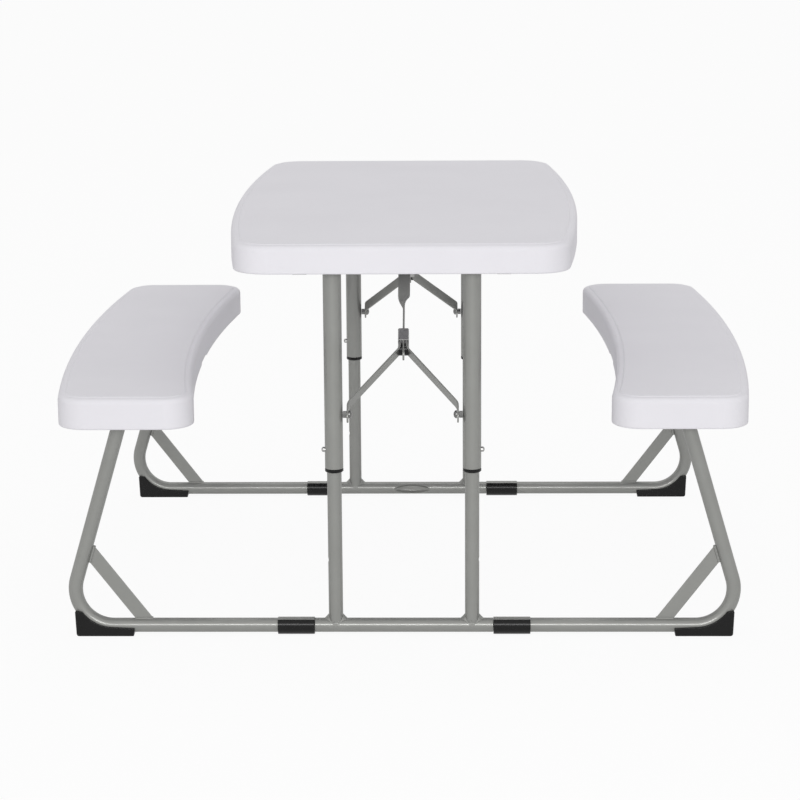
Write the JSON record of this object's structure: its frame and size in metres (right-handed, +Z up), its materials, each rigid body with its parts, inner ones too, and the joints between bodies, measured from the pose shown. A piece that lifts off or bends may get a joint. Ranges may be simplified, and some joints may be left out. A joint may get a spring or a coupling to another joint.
{
  "type": "children's folding picnic table",
  "caption": "White moulded tabletop on folding, telescoping steel leg sets with locking braces, and curved bench seats on bent tube frames that plug onto the base rails.",
  "frame": {"origin": "on the floor under the middle of the tabletop", "axes": "+X from the left bench to the right bench, +Y along the tabletop from the front end to the rear end, +Z up"},
  "size_m": [0.94, 0.826, 0.533],
  "materials": {
    "white_plastic": "fine moulded grain",
    "grey_steel": "grey powder coat",
    "black_plastic": "satin",
    "bright_steel": "zinc plated"
  },
  "bodies": {
    "tabletop": {"tabletop": "white_plastic", "front_leg_bracket": "grey_steel", "front_strut_bracket": "grey_steel", "rear_leg_bracket": "grey_steel", "rear_strut_bracket": "grey_steel"},
    "front_leg_set": {"front_pivot_tube": "grey_steel", "front_left_upper_leg": "grey_steel", "front_left_collar": "black_plastic", "front_left_brace_bolt": "bright_steel", "front_right_upper_leg": "grey_steel", "front_right_collar": "black_plastic", "front_right_brace_bolt": "bright_steel"},
    "front_lower_legs": {"front_base_rail": "grey_steel", "front_left_lower_leg": "grey_steel", "front_right_lower_leg": "grey_steel"},
    "front_wishbone": {"front_knee_rivet": "black_plastic", "front_left_brace_bar": "grey_steel", "front_right_brace_bar": "grey_steel"},
    "front_strut_link": {"front_strut": "grey_steel"},
    "front_ring": {"front_lock_ring": "bright_steel"},
    "front_left_push_button": {"front_left_button": "bright_steel"},
    "front_right_push_button": {"front_right_button": "bright_steel"},
    "rear_leg_set": {"rear_pivot_tube": "grey_steel", "rear_left_upper_leg": "grey_steel", "rear_left_collar": "black_plastic", "rear_left_brace_bolt": "bright_steel", "rear_right_upper_leg": "grey_steel", "rear_right_collar": "black_plastic", "rear_right_brace_bolt": "bright_steel"},
    "rear_lower_legs": {"rear_base_rail": "grey_steel", "rear_left_lower_leg": "grey_steel", "rear_right_lower_leg": "grey_steel"},
    "rear_wishbone": {"rear_knee_rivet": "black_plastic", "rear_left_brace_bar": "grey_steel", "rear_right_brace_bar": "grey_steel"},
    "rear_strut_link": {"rear_strut": "grey_steel"},
    "rear_ring": {"rear_lock_ring": "bright_steel"},
    "rear_left_push_button": {"rear_left_button": "bright_steel"},
    "rear_right_push_button": {"rear_right_button": "bright_steel"},
    "left_bench_unit": {"left_bench": "white_plastic", "left_front_bench_tube": "grey_steel", "left_front_gusset": "grey_steel", "left_front_foot": "black_plastic", "left_front_sleeve": "black_plastic", "left_rear_bench_tube": "grey_steel", "left_rear_gusset": "grey_steel", "left_rear_foot": "black_plastic", "left_rear_sleeve": "black_plastic"},
    "right_bench_unit": {"right_bench": "white_plastic", "right_front_bench_tube": "grey_steel", "right_front_gusset": "grey_steel", "right_front_foot": "black_plastic", "right_front_sleeve": "black_plastic", "right_rear_bench_tube": "grey_steel", "right_rear_gusset": "grey_steel", "right_rear_foot": "black_plastic", "right_rear_sleeve": "black_plastic"}
  },
  "joints": [
    {"name": "front_leg_fold", "type": "hinge", "parent": "tabletop", "child": "front_leg_set", "pos_m": [0, -0.355, 0.497], "axis": [1, 0, 0], "range_deg": [0, 90]},
    {"name": "front_leg_slide", "type": "slide", "parent": "front_leg_set", "child": "front_lower_legs", "axis": [0, 0, 1], "range_m": [0, 0.15]},
    {"name": "front_wishbone_swing", "type": "hinge", "parent": "front_leg_set", "child": "front_wishbone", "pos_m": [0, -0.355, 0.3], "axis": [1, 0, 0], "range_deg": [-161, 0]},
    {"name": "front_strut_swing", "type": "hinge", "parent": "front_wishbone", "child": "front_strut_link", "pos_m": [0, -0.27937, 0.37427], "axis": [1, 0, 0], "range_deg": [0, 201]},
    {"name": "front_ring_slide", "type": "slide", "parent": "front_strut_link", "child": "front_ring", "axis": [0, 0.7135, 0.7006], "range_m": [0, 0.039]},
    {"name": "front_left_button_press", "type": "slide", "parent": "front_leg_set", "child": "front_left_push_button", "axis": [1, 0, 0], "range_m": [0, 0.004], "stiffness_N_per_m": 900, "springref_m": -0.002},
    {"name": "front_right_button_press", "type": "slide", "parent": "front_leg_set", "child": "front_right_push_button", "axis": [-1, 0, 0], "range_m": [0, 0.004], "stiffness_N_per_m": 900, "springref_m": -0.002},
    {"name": "rear_leg_fold", "type": "hinge", "parent": "tabletop", "child": "rear_leg_set", "pos_m": [0, 0.355, 0.497], "axis": [-1, 0, 0], "range_deg": [0, 90]},
    {"name": "rear_leg_slide", "type": "slide", "parent": "rear_leg_set", "child": "rear_lower_legs", "axis": [0, 0, 1], "range_m": [0, 0.15]},
    {"name": "rear_wishbone_swing", "type": "hinge", "parent": "rear_leg_set", "child": "rear_wishbone", "pos_m": [0, 0.355, 0.3], "axis": [-1, 0, 0], "range_deg": [-161, 0]},
    {"name": "rear_strut_swing", "type": "hinge", "parent": "rear_wishbone", "child": "rear_strut_link", "pos_m": [0, 0.27937, 0.37427], "axis": [-1, 0, 0], "range_deg": [0, 201]},
    {"name": "rear_ring_slide", "type": "slide", "parent": "rear_strut_link", "child": "rear_ring", "axis": [0, -0.7135, 0.7006], "range_m": [0, 0.039]},
    {"name": "rear_left_button_press", "type": "slide", "parent": "rear_leg_set", "child": "rear_left_push_button", "axis": [1, 0, 0], "range_m": [0, 0.004], "stiffness_N_per_m": 900, "springref_m": -0.002},
    {"name": "rear_right_button_press", "type": "slide", "parent": "rear_leg_set", "child": "rear_right_push_button", "axis": [-1, 0, 0], "range_m": [0, 0.004], "stiffness_N_per_m": 900, "springref_m": -0.002},
    {"name": "left_bench_pull", "type": "slide", "parent": "tabletop", "child": "left_bench_unit", "axis": [-1, 0, 0], "range_m": [0, 0.12]},
    {"name": "right_bench_pull", "type": "slide", "parent": "tabletop", "child": "right_bench_unit", "axis": [1, 0, 0], "range_m": [0, 0.12]}
  ],
  "couplings": [
    {"joint": "front_wishbone_swing", "follows": "front_leg_fold", "ratio": -1.7872},
    {"joint": "front_strut_swing", "follows": "front_leg_fold", "ratio": 2.2271},
    {"joint": "front_ring_slide", "follows": "front_leg_fold", "m_per_rad": 0.024192},
    {"joint": "rear_wishbone_swing", "follows": "rear_leg_fold", "ratio": -1.7872},
    {"joint": "rear_strut_swing", "follows": "rear_leg_fold", "ratio": 2.2271},
    {"joint": "rear_ring_slide", "follows": "rear_leg_fold", "m_per_rad": 0.024192}
  ]
}
